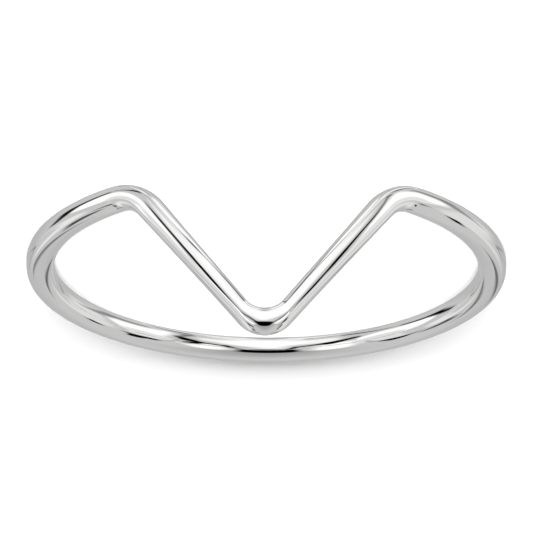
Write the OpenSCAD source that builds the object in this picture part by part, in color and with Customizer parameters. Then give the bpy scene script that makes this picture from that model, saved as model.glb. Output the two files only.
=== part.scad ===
// Chevron ring: a slim polished band round the finger, level except at the front, where it
// climbs to a point. The ring lies on its level shank with the point upwards. Millimetres,
// with +Z up along the axis of the finger hole and the point towards -Y.

/* [Finger hole] */
// Diameter of the finger hole
hole_d = 17.3; // [14:0.1:23]

/* [Band] */
// Thickness of the band, from the finger hole outwards
band_t = 1.17; // [0.9:0.01:1.45]
// Width of the shank, along the axis of the finger hole
band_w = 1.0; // [0.8:0.01:1.2]
// Radius of the shallow crown across each of the band's four faces
crown_r = 0.92; // [0.8:0.01:2]
// Radius of the band's four long edges
edge_r = 0.28; // [0.1:0.01:0.35]

/* [Chevron] */
// Height above the shank's middle line at which the arms' middle lines would cross
chevron_h = 6.76; // [4:0.01:9]
// Angle round the finger from the point to where an arm's middle line would meet the shank's
chevron_arc = 33.35; // [24:0.05:36]
// Width of an arm where it would reach the point
arm_point_w = 0.83; // [0.7:0.01:1.2]
// Width of an arm where it would reach the shank
arm_shank_w = 1.12; // [0.8:0.01:1.3]
// Radius of the point's upper edge, on the outside of the bend
point_top_r = 1.4; // [1.1:0.01:2]
// Radius of the point's lower edge, on the inside of the bend
point_under_r = 0.85; // [0.3:0.01:1]
// Radius of a shoulder's lower edge, on the outside of the bend
shoulder_r = 2.73; // [2.2:0.01:3]

/* [Hidden] */

// Level stretch from the end of a shoulder's bend to the seam, where the round shank starts
seam_run = 0.2;
// How far the front runs on inside the shank
seam_lap = 0.2;
// The front is this much slimmer than the shank on every face, so that it ends inside the shank
seam_step = 0.005;
// Corners of the band's section, and steps along each stretch of an arm
section_sides = 32;
point_steps = 14;
arm_steps = 14;
shoulder_steps = 7;
// Turning of the round shank in degrees for each of its steps
shank_step = 2;

// Each flat of the section lies this far inside the crown that it stands for
side_turn = 360 / section_sides;
crown_sag = crown_r * (1 - cos(side_turn / 2));
// Radius of the band's middle line, and the shank's height at its middle line
mid_r = hole_d / 2 + band_t / 2 - crown_sag;
mid_z = band_w / 2 - crown_sag;

// The front is set out on the flat, as a strip that is then bent round the finger. Both its
// edges are level from foot_u onwards.
mm_per_degree = mid_r * PI / 180;
corner_u = chevron_arc * mm_per_degree;
slope = atan2(chevron_h, corner_u);
foot_u = foot_corner(-1) + shoulder_r * tan(arm_fall(-1) / 2);
seam_u = foot_u + seam_run;
seam_angle = seam_u / mm_per_degree;

// Where the line through p along d crosses the line through q along e
function crossing(p, d, q, e) = p + d * cross(q - p, e) / cross(d, e);

// One edge of an arm, upper for side 1 and lower for side -1: a place on it and its run
function arm_place(side) =
    [0, chevron_h] + side * [sin(slope), cos(slope)] * arm_point_w / 2;
function arm_run(side) =
    [corner_u, 0] + side * [sin(slope), cos(slope)] * arm_shank_w / 2 - arm_place(side);
function arm_fall(side) = atan2(-arm_run(side)[1], arm_run(side)[0]);

// Where along the strip that edge would meet the shank's without a bend, and its bend's radius
function foot_corner(side) =
    crossing(arm_place(side), arm_run(side), [0, side * band_w / 2], [1, 0])[0];
function foot_r(side) = (foot_u - foot_corner(side)) / tan(arm_fall(side) / 2);

// Centre of the arc that rounds one long edge of a section of width w
function edge_centre(w) =
    let (
        across = band_t / 2 - crown_r,
        along = w / 2 - crown_r,
        apart = norm([across, along]),
        reach = crown_r - edge_r,
        out = sqrt(reach * reach - apart * apart / 4)
    )
    [across / 2 - out * along / apart, along / 2 - out * across / apart];

// Point of a quarter of the section whose surface faces at angle a, from 0 to 90
function quarter_point(a, w) =
    let (
        c = edge_centre(w),
        face = [band_t / 2 - crown_r, 0],
        side = [0, w / 2 - crown_r],
        face_end = atan2(c[1], c[0] - face[0]),
        side_start = atan2(c[1] - side[1], c[0]),
        facing = [cos(a), sin(a)]
    )
    a < face_end ? face + crown_r * facing
    : a > side_start ? side + crown_r * facing
    : c + edge_r * facing;

// Section of the band for width w, made slimmer by less on every face: outwards from the
// finger in x, along the band's width in y
function section(w, less) = [
    for (i = [0 : section_sides - 1])
        let (
            a = (i + 0.5) * side_turn,
            folded = acos(abs(cos(a))),
            p = quarter_point(folded, w) - less * [cos(folded), sin(folded)]
        )
        [sign(cos(a)) * p[0], sign(sin(a)) * p[1]]
];

// One edge of the strip from the point past the seam, as stations [u, height, fall]
function point_stations(side) =
    let (
        r = side > 0 ? point_top_r : point_under_r,
        fall = arm_fall(side),
        tip = crossing(arm_place(side), arm_run(side), [0, 0], [0, 1]),
        top = tip[1] - r * (1 / cos(fall) - 1)
    )
    [
        for (i = [0 : point_steps])
            let (a = fall * i / point_steps)
            [r * sin(a), top - r * (1 - cos(a)), a]
    ];
function shoulder_stations(side) =
    let (r = foot_r(side), fall = arm_fall(side))
    [
        for (i = [0 : shoulder_steps])
            let (a = fall * (1 - i / shoulder_steps))
            [foot_u - r * sin(a), side * band_w / 2 + r * (1 - cos(a)), a]
    ];
function edge_stations(side) =
    let (
        bend = point_stations(side),
        foot = shoulder_stations(side),
        first = bend[point_steps],
        last = foot[0]
    )
    concat(
        bend,
        [for (i = [1 : arm_steps - 1]) first + (last - first) * i / arm_steps],
        foot,
        [[seam_u + seam_lap, side * band_w / 2, 0]]
    );

// Bends a place on the strip round the finger: u along it, z up, x outwards
function wrap(u, z, x) =
    let (a = u / mm_per_degree)
    [(mid_r + x) * sin(a), -(mid_r + x) * cos(a), z + mid_z];

// Corners of the section between a station of the upper edge and its mate on the lower edge,
// for the right half of the front where way is 1 and the left half where it is -1
function station_ring(upper, lower, way) =
    let (
        fall = (upper[2] + lower[2]) / 2,
        across = [upper[0] - lower[0], upper[1] - lower[1]],
        middle = [upper[0] + lower[0], upper[1] + lower[1]] / 2,
        w = across * [sin(fall), cos(fall)]
    )
    [
        for (p = section(w, seam_step))
            let (place = middle + across * p[1] / w)
            wrap(way * place[0], place[1], p[0])
    ];

// The front of the band, from one seam over the point to the other
module chevron() {
    upper = edge_stations(1);
    lower = edge_stations(-1);
    half = len(upper) - 1;
    n = section_sides;
    last = 2 * half;
    points = [
        for (k = [-half : half])
            each station_ring(upper[abs(k)], lower[abs(k)], k < 0 ? -1 : 1)
    ];
    walls = [
        for (k = [0 : last - 1])
            for (i = [0 : n - 1])
                let (
                    j = (i + 1) % n,
                    a = k * n + i,
                    b = k * n + j,
                    c = (k + 1) * n + j,
                    d = (k + 1) * n + i
                )
                each [[a, b, c], [a, c, d]]
    ];
    first_end = [for (i = [n - 1 : -1 : 0]) i];
    last_end = [for (i = [0 : n - 1]) last * n + i];
    polyhedron(points = points, faces = concat(walls, [first_end, last_end]));
}

// The round, level rest of the band, behind the seams
module shank() {
    rotate([0, 0, seam_angle - 90])
        rotate_extrude(angle = 360 - 2 * seam_angle, $fn = ceil(360 / shank_step))
            translate([mid_r, mid_z])
                polygon(section(band_w, 0));
}

module band() {
    color("silver")
        union() {
            shank();
            chevron();
        }
}

band();
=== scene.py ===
from math import acos, atan2, cos, hypot, pi, radians, sin, sqrt, tan

import bpy
from mathutils import Matrix, Vector


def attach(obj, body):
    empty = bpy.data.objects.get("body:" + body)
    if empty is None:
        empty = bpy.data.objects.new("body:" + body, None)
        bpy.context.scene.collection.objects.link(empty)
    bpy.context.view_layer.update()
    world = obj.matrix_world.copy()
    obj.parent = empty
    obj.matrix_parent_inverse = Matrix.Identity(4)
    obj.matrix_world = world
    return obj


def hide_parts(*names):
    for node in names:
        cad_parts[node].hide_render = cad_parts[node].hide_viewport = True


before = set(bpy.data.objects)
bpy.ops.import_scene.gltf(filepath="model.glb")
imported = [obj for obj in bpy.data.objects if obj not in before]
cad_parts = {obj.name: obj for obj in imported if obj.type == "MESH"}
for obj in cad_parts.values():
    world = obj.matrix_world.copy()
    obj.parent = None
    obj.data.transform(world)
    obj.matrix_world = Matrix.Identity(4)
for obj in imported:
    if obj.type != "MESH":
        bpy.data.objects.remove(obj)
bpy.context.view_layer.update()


# The band, one ring of sterling silver wire. Its four faces are shallow crowns and its four
# long edges are rounded over. It is level all round, but for the front, which was bent up on
# a former into two arms that meet at a point.
HOLE_D = 17.3
BAND_T = 1.17
BAND_W = 1.0
CROWN_R = 0.92
EDGE_R = 0.28
CHEVRON_H = 6.76
CHEVRON_ARC = radians(33.35)
ARM_POINT_W = 0.83
ARM_SHANK_W = 1.12
POINT_TOP_R = 1.4
POINT_UNDER_R = 0.85
SHOULDER_R = 2.73
# What the polishing took off every face.
POLISHED_OFF = 0.006
MM = 0.001

# The frame's crowns are made of flats, each turned by twice this angle from the next. The
# flats lie this far inside the true crowns, and the polished surface keeps to them.
FLAT_HALF_TURN = radians(5.625)
FLAT_SAG = CROWN_R * (1 - cos(FLAT_HALF_TURN))
mid_r = HOLE_D / 2 + BAND_T / 2 - FLAT_SAG
mid_z = BAND_W / 2 - FLAT_SAG
corner_u = CHEVRON_ARC * mid_r
slope = atan2(CHEVRON_H, corner_u)


def cross2(a, b):
    return a[0] * b[1] - a[1] * b[0]


def crossing(p, d, q, e):
    """Where the line through p along d meets the line through q along e."""
    return p + d * (cross2(q - p, e) / cross2(d, e))


# Laid out flat, an arm's edge leaves the middle of the point here, on the upper side (1) or
# on the lower side (-1), and runs this far to the shank's corner.
def arm_place(side):
    return Vector((0, CHEVRON_H)) + side * Vector((sin(slope), cos(slope))) * ARM_POINT_W / 2


def arm_run(side):
    end = Vector((corner_u, 0)) + side * Vector((sin(slope), cos(slope))) * ARM_SHANK_W / 2
    return end - arm_place(side)


def arm_fall(side):
    run = arm_run(side)
    return atan2(-run[1], run[0])


def foot_corner(side):
    level = Vector((0, side * BAND_W / 2))
    return crossing(arm_place(side), arm_run(side), level, Vector((1, 0)))[0]


# Past this place along the band the shank is level, and these are the steps of its mesh.
foot_u = foot_corner(-1) + SHOULDER_R * tan(arm_fall(-1) / 2)
POINT_STEPS = 60
ARM_STEPS = 60
SHOULDER_STEPS = 40
SHANK_STEPS = 150
SECTION_STEPS = 128


def edge_line(side):
    """One edge of the band laid out flat, from the point to the back: (along, height, fall)."""
    fall = arm_fall(side)
    r = POINT_TOP_R if side > 0 else POINT_UNDER_R
    tip = crossing(arm_place(side), arm_run(side), Vector((0, 0)), Vector((0, 1)))
    top = tip[1] - r * (1 / cos(fall) - 1)
    bend = []
    for i in range(POINT_STEPS + 1):
        a = fall * i / POINT_STEPS
        bend.append(Vector((r * sin(a), top - r * (1 - cos(a)), a)))
    r = (foot_u - foot_corner(side)) / tan(fall / 2)
    foot = []
    for i in range(SHOULDER_STEPS + 1):
        a = fall * (1 - i / SHOULDER_STEPS)
        foot.append(Vector((foot_u - r * sin(a), side * BAND_W / 2 + r * (1 - cos(a)), a)))
    arm = [bend[-1].lerp(foot[0], i / ARM_STEPS) for i in range(1, ARM_STEPS)]
    back = pi * mid_r
    level = []
    for i in range(1, SHANK_STEPS + 1):
        u = foot_u + (back - foot_u) * i / SHANK_STEPS
        level.append(Vector((u, side * BAND_W / 2, 0)))
    return bend + arm + foot + level


def section_point(facing, half_t, half_w):
    """A quarter of the band's section: the place whose surface faces at that angle."""
    across, along = half_t - CROWN_R, half_w - CROWN_R
    apart = hypot(across, along)
    out = sqrt((CROWN_R - EDGE_R) ** 2 - apart * apart / 4)
    cx = across / 2 - out * along / apart
    cy = along / 2 - out * across / apart
    if facing < atan2(cy, cx - across):
        return across + CROWN_R * cos(facing), CROWN_R * sin(facing)
    if facing > atan2(cy - along, cx):
        return CROWN_R * cos(facing), along + CROWN_R * sin(facing)
    return cx + EDGE_R * cos(facing), cy + EDGE_R * sin(facing)


def band_rings():
    """Rings of section points round the whole band, and where each lies along and across."""
    uppers, lowers = edge_line(1), edge_line(-1)
    rings = []
    grain = []
    under = FLAT_SAG + POLISHED_OFF
    last = len(uppers) - 1
    for k in range(-last + 1, last + 1):
        upper, lower = uppers[abs(k)], lowers[abs(k)]
        way = -1 if k < 0 else 1
        fall = (upper[2] + lower[2]) / 2
        span = upper - lower
        middle = (upper + lower) / 2
        w = span[0] * sin(fall) + span[1] * cos(fall)
        ring = []
        for i in range(SECTION_STEPS):
            a = 2 * pi * i / SECTION_STEPS
            folded = acos(min(1, abs(cos(a))))
            x, y = section_point(folded, BAND_T / 2 - under, w / 2 - under)
            x = x if cos(a) > 0 else -x
            y = y if sin(a) > 0 else -y
            u = way * (middle[0] + span[0] * y / w)
            z = middle[1] + span[1] * y / w
            turn = u / mid_r
            ring.append(
                Vector(((mid_r + x) * sin(turn), -(mid_r + x) * cos(turn), z + mid_z)) * MM
            )
            grain.append((abs(u), x, y))
        rings.append(ring)
    return rings, grain


rings, grain = band_rings()
vertices = [place for ring in rings for place in ring]
faces = []
for k in range(len(rings)):
    near, far = k * SECTION_STEPS, (k + 1) % len(rings) * SECTION_STEPS
    for i in range(SECTION_STEPS):
        j = (i + 1) % SECTION_STEPS
        faces.append((near + i, near + j, far + j, far + i))
band_mesh = bpy.data.meshes.new("polished_band")
band_mesh.from_pydata(vertices, [], faces)
band_mesh.shade_smooth()
along_band = band_mesh.attributes.new("along_band", "FLOAT_VECTOR", "POINT")
along_band.data.foreach_set("vector", [value for place in grain for value in place])
band_mesh.update()
band = bpy.data.objects.new("polished_band", band_mesh)
bpy.context.scene.collection.objects.link(band)

silver = bpy.data.materials.new("polished_silver")
silver.use_nodes = True
nodes, links = silver.node_tree.nodes, silver.node_tree.links
shader = nodes["Principled BSDF"]
shader.inputs["Metallic"].default_value = 1

# Where a place lies on the band, in millimetres: along it, out from the finger and across.
grain_place = nodes.new("ShaderNodeAttribute")
grain_place.attribute_name = "along_band"
object_place = nodes.new("ShaderNodeTexCoord")


def noise(place, scale, detail, roughness=0.5):
    node = nodes.new("ShaderNodeTexNoise")
    node.inputs["Scale"].default_value = scale
    node.inputs["Detail"].default_value = detail
    node.inputs["Roughness"].default_value = roughness
    links.new(place, node.inputs["Vector"])
    return node.outputs["Fac"]


def spread(value, low, high, to_low, to_high):
    node = nodes.new("ShaderNodeMapRange")
    for name, number in (
        ("From Min", low),
        ("From Max", high),
        ("To Min", to_low),
        ("To Max", to_high),
    ):
        node.inputs[name].default_value = number
    links.new(value, node.inputs["Value"])
    return node.outputs["Result"]


def drawn_out(along, across):
    """Places along the band pulled out, so that a noise laid on them makes long marks."""
    node = nodes.new("ShaderNodeMapping")
    node.inputs["Scale"].default_value = (along, across, across)
    links.new(grain_place.outputs["Vector"], node.inputs["Vector"])
    return node.outputs["Vector"]


def sum_of(a, b):
    node = nodes.new("ShaderNodeMath")
    node.operation = "ADD"
    links.new(a, node.inputs[0])
    links.new(b, node.inputs[1])
    return node.outputs[0]


# Haze of handling, a few millimetres across, then hairlines of the polishing cloth and fine
# wear, both along the band: how often they come in a millimetre along it and across it.
HAZE_PER_METRE = 260
HAIRLINES_PER_MM = (0.5, 14)
WEAR_PER_MM = (2.4, 30)
haze = noise(object_place.outputs["Object"], HAZE_PER_METRE, detail=3, roughness=0.55)
hairlines = noise(drawn_out(*HAIRLINES_PER_MM), 1, detail=4, roughness=0.65)
fine_wear = noise(drawn_out(*WEAR_PER_MM), 1, detail=2, roughness=0.6)

CLEAN_SILVER = (0.955, 0.953, 0.945, 1)
HAZY_SILVER = (0.915, 0.917, 0.915, 1)
tint = nodes.new("ShaderNodeMix")
tint.data_type = "RGBA"
tint.inputs["A"].default_value = CLEAN_SILVER
tint.inputs["B"].default_value = HAZY_SILVER
links.new(spread(haze, 0.35, 0.7, 0, 1), tint.inputs["Factor"])
links.new(tint.outputs["Result"], shader.inputs["Base Color"])

MIRROR_ROUGH = 0.02
HAZE_ROUGH = 0.045
HAIRLINE_ROUGH = 0.04
links.new(
    sum_of(
        spread(haze, 0.4, 0.75, MIRROR_ROUGH, HAZE_ROUGH),
        spread(hairlines, 0.5, 0.75, 0, HAIRLINE_ROUGH),
    ),
    shader.inputs["Roughness"],
)

# The faces are never quite true: slow waves left by hand polishing, under the hairlines.
WAVES_PER_METRE = 420
WAVE_DEPTH = 0.000004
SCUFF_DEPTH = 0.0000004
waves = nodes.new("ShaderNodeBump")
waves.inputs["Strength"].default_value = 1
waves.inputs["Distance"].default_value = WAVE_DEPTH
wave_height = noise(object_place.outputs["Object"], WAVES_PER_METRE, detail=0)
links.new(wave_height, waves.inputs["Height"])
scuffs = nodes.new("ShaderNodeBump")
scuffs.inputs["Strength"].default_value = 0.5
scuffs.inputs["Distance"].default_value = SCUFF_DEPTH
links.new(sum_of(hairlines, fine_wear), scuffs.inputs["Height"])
links.new(waves.outputs["Normal"], scuffs.inputs["Normal"])
links.new(scuffs.outputs["Normal"], shader.inputs["Normal"])
band_mesh.materials.append(silver)

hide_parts("band")
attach(band, "root")


# The table top, a white sheet that runs far past the ring. It is lit until it burns out to
# white in the picture, so that only the ring's own soft shadow is left on it.
FLOOR_HALF = 1.5
SHEET_WHITE = 0.9
floor_mesh = bpy.data.meshes.new("table_top")
corners = [(-FLOOR_HALF, -FLOOR_HALF, 0), (FLOOR_HALF, -FLOOR_HALF, 0)]
corners += [(FLOOR_HALF, FLOOR_HALF, 0), (-FLOOR_HALF, FLOOR_HALF, 0)]
floor_mesh.from_pydata(corners, [], [(0, 1, 2, 3)])
floor = bpy.data.objects.new("table_top", floor_mesh)
bpy.context.scene.collection.objects.link(floor)
floor.visible_glossy = False
paper = bpy.data.materials.new("white_sheet")
paper.use_nodes = True
sheet = paper.node_tree.nodes["Principled BSDF"]
sheet.inputs["Base Color"].default_value = (SHEET_WHITE, SHEET_WHITE, SHEET_WHITE, 1)
sheet.inputs["Roughness"].default_value = 0.9
sheet.inputs["Specular IOR Level"].default_value = 0
floor_mesh.materials.append(paper)


# The camera stands before the point, a good step back and a little above the ring, and is
# held upside down, so that the ring, which lies down here, is seen as if stood on its shank.
CAMERA_UP = radians(22.18)
CAMERA_ROUND = radians(-0.322)
CAMERA_ROLL = radians(180.353)
CAMERA_OFF = 30.028 * mid_r * MM
PICTURE_W = 533
FOCAL_PIXELS = 6784
SHIFT_PIXELS = (0.23, 0.54)
SENSOR_W = 36
ring_centre = Vector((0, 0, mid_z * MM))
to_camera = Vector(
    (
        sin(CAMERA_ROUND) * cos(CAMERA_UP),
        -cos(CAMERA_ROUND) * cos(CAMERA_UP),
        sin(CAMERA_UP),
    )
)
level_right = (-to_camera).cross(Vector((0, 0, 1))).normalized()
level_up = level_right.cross(-to_camera)
picture_right = level_right * cos(CAMERA_ROLL) + level_up * sin(CAMERA_ROLL)
picture_up = -level_right * sin(CAMERA_ROLL) + level_up * cos(CAMERA_ROLL)
camera_data = bpy.data.cameras.new("camera")
camera_data.sensor_width = SENSOR_W
camera_data.lens = FOCAL_PIXELS / PICTURE_W * SENSOR_W
camera_data.shift_x = SHIFT_PIXELS[0] / PICTURE_W
camera_data.shift_y = SHIFT_PIXELS[1] / PICTURE_W
camera_data.clip_start = 0.01
camera_data.clip_end = 10
camera = bpy.data.objects.new("camera", camera_data)
bpy.context.scene.collection.objects.link(camera)
turned = Matrix((picture_right, picture_up, to_camera)).transposed().to_4x4()
camera.matrix_world = Matrix.Translation(ring_centre + to_camera * CAMERA_OFF) @ turned
bpy.context.scene.camera = camera


# The light tent, white panels all round the ring with dark gaps between them, and the black
# opening for the lens in front. Each patch is drawn on a round chart of the directions from
# the ring, with the lens at its middle, and reaches from one place on the chart to another.
# Later patches lie over earlier ones.
TENT_TONE = 0.59
#   name, from, to, half width at each end, softness, tone
TENT_PATCHES = [
    ("low_middle", (-0.011, -0.380), (0.007, -0.617), 0.234, 0.145, 0.133, 0.38),
    ("top_rim", (-0.411, 0.731), (0.464, 0.731), 0.037, 0.058, 0.031, 1.06),
    ("top_rim_low", (-0.206, 0.624), (0.208, 0.634), 0.054, 0.061, 0.034, 1.12),
    ("top_field", (-0.265, 0.419), (0.264, 0.427), 0.088, 0.061, 0.034, 0.96),
    ("top_field_low", (0.006, 0.375), (-0.019, 0.260), 0.210, 0.065, 0.074, 1.09),
    ("left_panel", (-0.344, 0.144), (-0.255, -0.260), 0.110, 0.070, 0.045, 1.09),
    ("right_panel", (0.287, 0.125), (0.235, -0.192), 0.110, 0.063, 0.046, 1.06),
    ("left_flank", (-0.544, 0.253), (-0.710, 0.175), 0.113, 0.111, 0.019, 1.10),
    ("left_flank_low", (-0.522, 0.114), (-0.476, -0.361), 0.132, 0.041, 0.018, 0.78),
    ("right_flank", (0.468, 0.451), (0.614, 0.232), 0.026, 0.133, 0.034, 1.10),
    ("right_flank_low", (0.536, 0.084), (0.530, -0.123), 0.144, 0.054, 0.024, 0.80),
    ("left_far_panel", (-0.835, -0.183), (-0.658, -0.414), 0.049, 0.032, 0.019, 0.68),
    ("right_far_panel", (0.848, -0.154), (0.686, -0.452), 0.050, 0.047, 0.020, 0.73),
    ("right_low_white", (0.861, 0.081), (0.446, -0.809), 0.100, 0.051, 0.038, 0.76),
    ("left_low_white", (-0.697, -0.300), (-0.410, -0.779), 0.049, 0.036, 0.028, 0.84),
    ("lens_shade", (0.029, -0.243), (-0.068, -0.317), 0.131, 0.105, 0.094, 0.35),
    ("lens", (-0.010, 0.010), (-0.010, -0.250), 0.140, 0.120, 0.026, 0.00),
    ("left_gap", (-0.422, 0.366), (-0.296, 0.280), 0.032, 0.050, 0.015, 0.00),
    ("left_gap_tail", (-0.259, 0.283), (-0.141, 0.230), 0.026, 0.017, 0.014, 0.00),
    ("right_gap", (0.408, 0.352), (0.372, 0.295), 0.030, 0.052, 0.016, 0.00),
    ("right_gap_tail", (0.321, 0.269), (0.200, 0.242), 0.026, 0.020, 0.014, 0.00),
    ("right_gap_up", (0.433, 0.344), (0.361, 0.507), 0.012, 0.009, 0.020, 0.06),
    ("left_gap_end", (-0.142, 0.228), (-0.091, 0.109), 0.017, 0.020, 0.014, 0.00),
    ("right_gap_end", (0.197, 0.242), (0.119, 0.111), 0.022, 0.022, 0.014, 0.00),
    ("right_gap_foot", (0.314, 0.258), (0.372, 0.156), 0.029, 0.037, 0.015, 0.00),
    ("left_seam", (-0.470, 0.115), (-0.427, -0.298), 0.007, 0.023, 0.015, 0.42),
    ("left_low_gap", (-0.424, -0.359), (-0.383, -0.587), 0.021, 0.046, 0.013, 0.00),
    ("left_low_gap_end", (-0.376, -0.553), (-0.313, -0.658), 0.032, 0.019, 0.008, 0.00),
    ("right_seam", (0.419, 0.207), (0.458, -0.107), 0.009, 0.016, 0.011, 0.35),
    ("right_low_gap", (0.468, -0.168), (0.470, -0.347), 0.035, 0.063, 0.018, 0.00),
    ("right_low_gap_end", (0.468, -0.358), (0.339, -0.627), 0.040, 0.009, 0.008, 0.00),
    ("right_second_gap", (0.460, -0.614), (0.343, -0.748), 0.021, 0.013, 0.008, 0.00),
    ("left_arc", (-0.869, 0.030), (-0.812, 0.223), 0.017, 0.035, 0.020, 0.00),
    ("left_arc_mid", (-0.792, 0.256), (-0.640, 0.385), 0.030, 0.013, 0.016, 0.00),
    ("left_arc_top", (-0.614, 0.407), (-0.361, 0.562), 0.004, 0.018, 0.008, 0.00),
    ("left_top_shade", (-0.429, 0.764), (-0.194, 0.588), 0.021, 0.022, 0.018, 0.07),
    ("right_top_shade", (0.463, 0.703), (0.388, 0.623), 0.035, 0.062, 0.020, 0.10),
    ("left_shoulder_gap", (-0.448, 0.509), (-0.376, 0.546), 0.011, 0.018, 0.009, 0.00),
    ("right_shoulder_gap", (0.350, 0.515), (0.394, 0.493), 0.016, 0.016, 0.012, 0.15),
    ("left_top_line", (-0.250, 0.639), (0.000, 0.614), 0.012, 0.014, 0.010, 0.05),
    ("top_rim_middle", (0.003, 0.840), (-0.011, 0.750), 0.084, 0.063, 0.030, 0.47),
    ("right_top_line", (0.001, 0.613), (0.200, 0.681), 0.015, 0.013, 0.010, 0.06),
    ("right_top_line_end", (0.200, 0.679), (0.380, 0.687), 0.013, 0.013, 0.010, 0.05),
    ("right_arc", (0.567, 0.461), (0.736, 0.379), 0.015, 0.027, 0.020, 0.19),
    ("right_arc_low", (0.750, 0.342), (0.890, 0.054), 0.033, 0.004, 0.018, 0.28),
    ("left_low_line", (-0.313, -0.756), (-0.259, -0.831), 0.032, 0.004, 0.011, 0.08),
]

# One patch: its tone where it covers the spot on the chart, else the tone under it.
patch = bpy.data.node_groups.new("tent_patch", "ShaderNodeTree")
for name, kind in (
    ("Spot", "NodeSocketVector"),
    ("From", "NodeSocketVector"),
    ("To", "NodeSocketVector"),
    ("Width From", "NodeSocketFloat"),
    ("Width To", "NodeSocketFloat"),
    ("Softness", "NodeSocketFloat"),
    ("Tone", "NodeSocketFloat"),
    ("Under", "NodeSocketFloat"),
):
    patch.interface.new_socket(name, in_out="INPUT", socket_type=kind)
patch.interface.new_socket("Tone", in_out="OUTPUT", socket_type="NodeSocketFloat")
given = patch.nodes.new("NodeGroupInput")
result = patch.nodes.new("NodeGroupOutput")


def vector_maths(tree, operation, a, b=None, scale=None):
    node = tree.nodes.new("ShaderNodeVectorMath")
    node.operation = operation
    tree.links.new(a, node.inputs[0])
    if b is not None:
        tree.links.new(b, node.inputs[1])
    if scale is not None:
        tree.links.new(scale, node.inputs["Scale"])
    return node.outputs["Value" if operation in ("DOT_PRODUCT", "LENGTH") else "Vector"]


def maths(tree, operation, a, b=None, clamp=False):
    node = tree.nodes.new("ShaderNodeMath")
    node.operation = operation
    node.use_clamp = clamp
    for socket, value in zip(node.inputs, (a, b)):
        if isinstance(value, (int, float)):
            socket.default_value = value
        elif value is not None:
            tree.links.new(value, socket)
    return node.outputs[0]


reach = vector_maths(patch, "SUBTRACT", given.outputs["To"], given.outputs["From"])
off = vector_maths(patch, "SUBTRACT", given.outputs["Spot"], given.outputs["From"])
share = maths(
    patch,
    "DIVIDE",
    vector_maths(patch, "DOT_PRODUCT", off, reach),
    vector_maths(patch, "DOT_PRODUCT", reach, reach),
    clamp=True,
)
nearest = vector_maths(patch, "SCALE", reach, scale=share)
apart = vector_maths(patch, "LENGTH", vector_maths(patch, "SUBTRACT", off, nearest))
widening = maths(patch, "SUBTRACT", given.outputs["Width To"], given.outputs["Width From"])
width_here = maths(
    patch, "ADD", given.outputs["Width From"], maths(patch, "MULTIPLY", widening, share)
)
cover = patch.nodes.new("ShaderNodeMapRange")
cover.interpolation_type = "SMOOTHSTEP"
patch.links.new(apart, cover.inputs["Value"])
patch.links.new(
    maths(patch, "ADD", width_here, given.outputs["Softness"]), cover.inputs["From Min"]
)
patch.links.new(
    maths(patch, "SUBTRACT", width_here, given.outputs["Softness"]), cover.inputs["From Max"]
)
blend = patch.nodes.new("ShaderNodeMix")
patch.links.new(cover.outputs["Result"], blend.inputs["Factor"])
patch.links.new(given.outputs["Under"], blend.inputs["A"])
patch.links.new(given.outputs["Tone"], blend.inputs["B"])
patch.links.new(blend.outputs["Result"], result.inputs["Tone"])

world = bpy.data.worlds.new("light_tent")
bpy.context.scene.world = world
world.use_nodes = True
tent = world.node_tree
tent.nodes.clear()
direction = tent.nodes.new("ShaderNodeTexCoord").outputs["Generated"]


def fixed(tree, values):
    node = tree.nodes.new("ShaderNodeCombineXYZ")
    for socket, value in zip(node.inputs, values):
        socket.default_value = value
    return node.outputs[0]


# A direction's spot on the chart. Straight behind the ring the chart ends in its rim, and the
# least divisor keeps that spot finite.
LEAST_DIVISOR = 1e-6
right_part = vector_maths(tent, "DOT_PRODUCT", direction, fixed(tent, picture_right))
up_part = vector_maths(tent, "DOT_PRODUCT", direction, fixed(tent, picture_up))
near_part = vector_maths(tent, "DOT_PRODUCT", direction, fixed(tent, to_camera))
from_behind = maths(tent, "ADD", near_part, 1)
shrink = maths(
    tent,
    "SQRT",
    maths(tent, "MAXIMUM", maths(tent, "MULTIPLY", from_behind, 2), LEAST_DIVISOR),
)
spot = tent.nodes.new("ShaderNodeCombineXYZ")
tent.links.new(maths(tent, "DIVIDE", right_part, shrink), spot.inputs["X"])
tent.links.new(maths(tent, "DIVIDE", up_part, shrink), spot.inputs["Y"])


def painted(tone, patches):
    """The tent's tone with a list of patches laid over it, one after another."""
    for name, start, end, wide_start, wide_end, softness, strength in patches:
        node = tent.nodes.new("ShaderNodeGroup")
        node.node_tree = patch
        node.label = name
        tent.links.new(spot.outputs[0], node.inputs["Spot"])
        node.inputs["From"].default_value = (*start, 0)
        node.inputs["To"].default_value = (*end, 0)
        node.inputs["Width From"].default_value = wide_start
        node.inputs["Width To"].default_value = wide_end
        node.inputs["Softness"].default_value = softness
        node.inputs["Tone"].default_value = strength
        tent.links.new(tone, node.inputs["Under"])
        tone = node.outputs["Tone"]
    return tone


tone = painted(maths(tent, "ADD", 0.0, TENT_TONE), TENT_PATCHES)

# Far behind the ring the tent ends at a plain gray wall, which the band's outline and its
# grazing faces mirror.
WALL_TONE = 0.50
WALL_FROM = 0.88
WALL_FULL = 0.97
wall_cover = tent.nodes.new("ShaderNodeMapRange")
wall_cover.interpolation_type = "SMOOTHSTEP"
tent.links.new(vector_maths(tent, "LENGTH", spot.outputs[0]), wall_cover.inputs["Value"])
wall_cover.inputs["From Min"].default_value = WALL_FROM
wall_cover.inputs["From Max"].default_value = WALL_FULL
wall = tent.nodes.new("ShaderNodeMix")
tent.links.new(wall_cover.outputs["Result"], wall.inputs["Factor"])
tent.links.new(tone, wall.inputs["A"])
wall.inputs["B"].default_value = WALL_TONE

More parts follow.
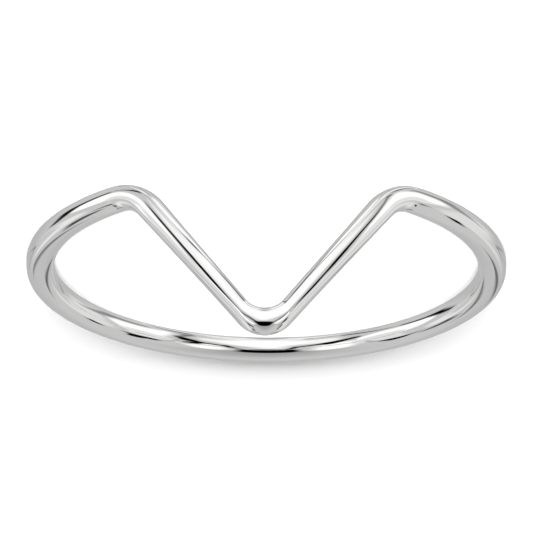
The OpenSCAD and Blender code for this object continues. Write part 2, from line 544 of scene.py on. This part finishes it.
# Thin dark bars stand before the wall and draw fine lines along the band's edges.
WALL_LINES = [
    ("left_edge_line", (0.166, -0.903), (0.349, -0.889), 0.010, 0.010, 0.008, 0.15),
    ("right_edge_line", (-0.149, -0.885), (-0.352, -0.858), 0.011, 0.008, 0.012, 0.15),
    ("left_rim_line", (-0.938, -0.204), (-0.661, -0.673), 0.006, 0.008, 0.010, 0.24),
    ("right_rim_line", (0.971, -0.035), (0.786, -0.515), 0.006, 0.008, 0.010, 0.25),
]
tone = painted(wall.outputs["Result"], WALL_LINES)

# Only mirror rays see the tent's panels. The table top is lit evenly from all round, and the
# camera sees plain white past it.
SKY_LIGHT = 0.5
SEEN_WHITE = 1.05
rays = tent.nodes.new("ShaderNodeLightPath")
plain = tent.nodes.new("ShaderNodeMix")
tent.links.new(rays.outputs["Is Camera Ray"], plain.inputs["Factor"])
plain.inputs["A"].default_value = SKY_LIGHT
plain.inputs["B"].default_value = SEEN_WHITE
seen = tent.nodes.new("ShaderNodeMix")
tent.links.new(rays.outputs["Is Glossy Ray"], seen.inputs["Factor"])
tent.links.new(plain.outputs["Result"], seen.inputs["A"])
tent.links.new(tone, seen.inputs["B"])
background = tent.nodes.new("ShaderNodeBackground")
tent.links.new(seen.outputs["Result"], background.inputs["Color"])
output = tent.nodes.new("ShaderNodeOutputWorld")
tent.links.new(background.outputs["Background"], output.inputs["Surface"])


# The soft lamp, a long low strip that all but stands on the table on the camera's side. It
# throws the band's shadow away from the camera, and it is so long that the raised arms leave
# no shadow of their own.
LAMP_OFF = 0.7
LAMP_UP = radians(9.8)
LAMP_LENGTH = 1.4
LAMP_HEIGHT = 0.24
LAMP_WATTS = 44.5
lamp_data = bpy.data.lights.new("soft_lamp", "AREA")
lamp_data.shape = "RECTANGLE"
lamp_data.size = LAMP_LENGTH
lamp_data.size_y = LAMP_HEIGHT
lamp_data.energy = LAMP_WATTS
lamp = bpy.data.objects.new("soft_lamp", lamp_data)
bpy.context.scene.collection.objects.link(lamp)
lamp.location = Vector((0, -cos(LAMP_UP), sin(LAMP_UP))) * LAMP_OFF
lamp.rotation_mode = "QUATERNION"
lamp.rotation_quaternion = (-lamp.location).to_track_quat("-Z", "Y")
lamp.visible_glossy = False


# The front lamp, a small soft spot that hangs over the raised front. Its wide oval pool of
# light fills the shadow inside the ring and ends before the back of the shank.
FRONT_LAMP_UP = 0.08
FRONT_LAMP_FORWARD = 0.004
FRONT_LAMP_REACH = 0.010
FRONT_LAMP_OVAL = 1.8
FRONT_LAMP_WATTS = 0.22
FRONT_LAMP_RADIUS = 0.01
front_data = bpy.data.lights.new("front_lamp", "SPOT")
front_data.energy = FRONT_LAMP_WATTS
front_data.spot_size = 2 * atan2(FRONT_LAMP_REACH, FRONT_LAMP_UP)
front_data.spot_blend = 1
front_data.shadow_soft_size = FRONT_LAMP_RADIUS
front_lamp = bpy.data.objects.new("front_lamp", front_data)
bpy.context.scene.collection.objects.link(front_lamp)
front_lamp.location = (0, -FRONT_LAMP_FORWARD, FRONT_LAMP_UP)
front_lamp.scale = (FRONT_LAMP_OVAL, 1, 1)
front_lamp.visible_glossy = False


# The picture keeps the light's own tones.
bpy.context.scene.view_settings.view_transform = "Standard"
bpy.context.scene.view_settings.look = "None"
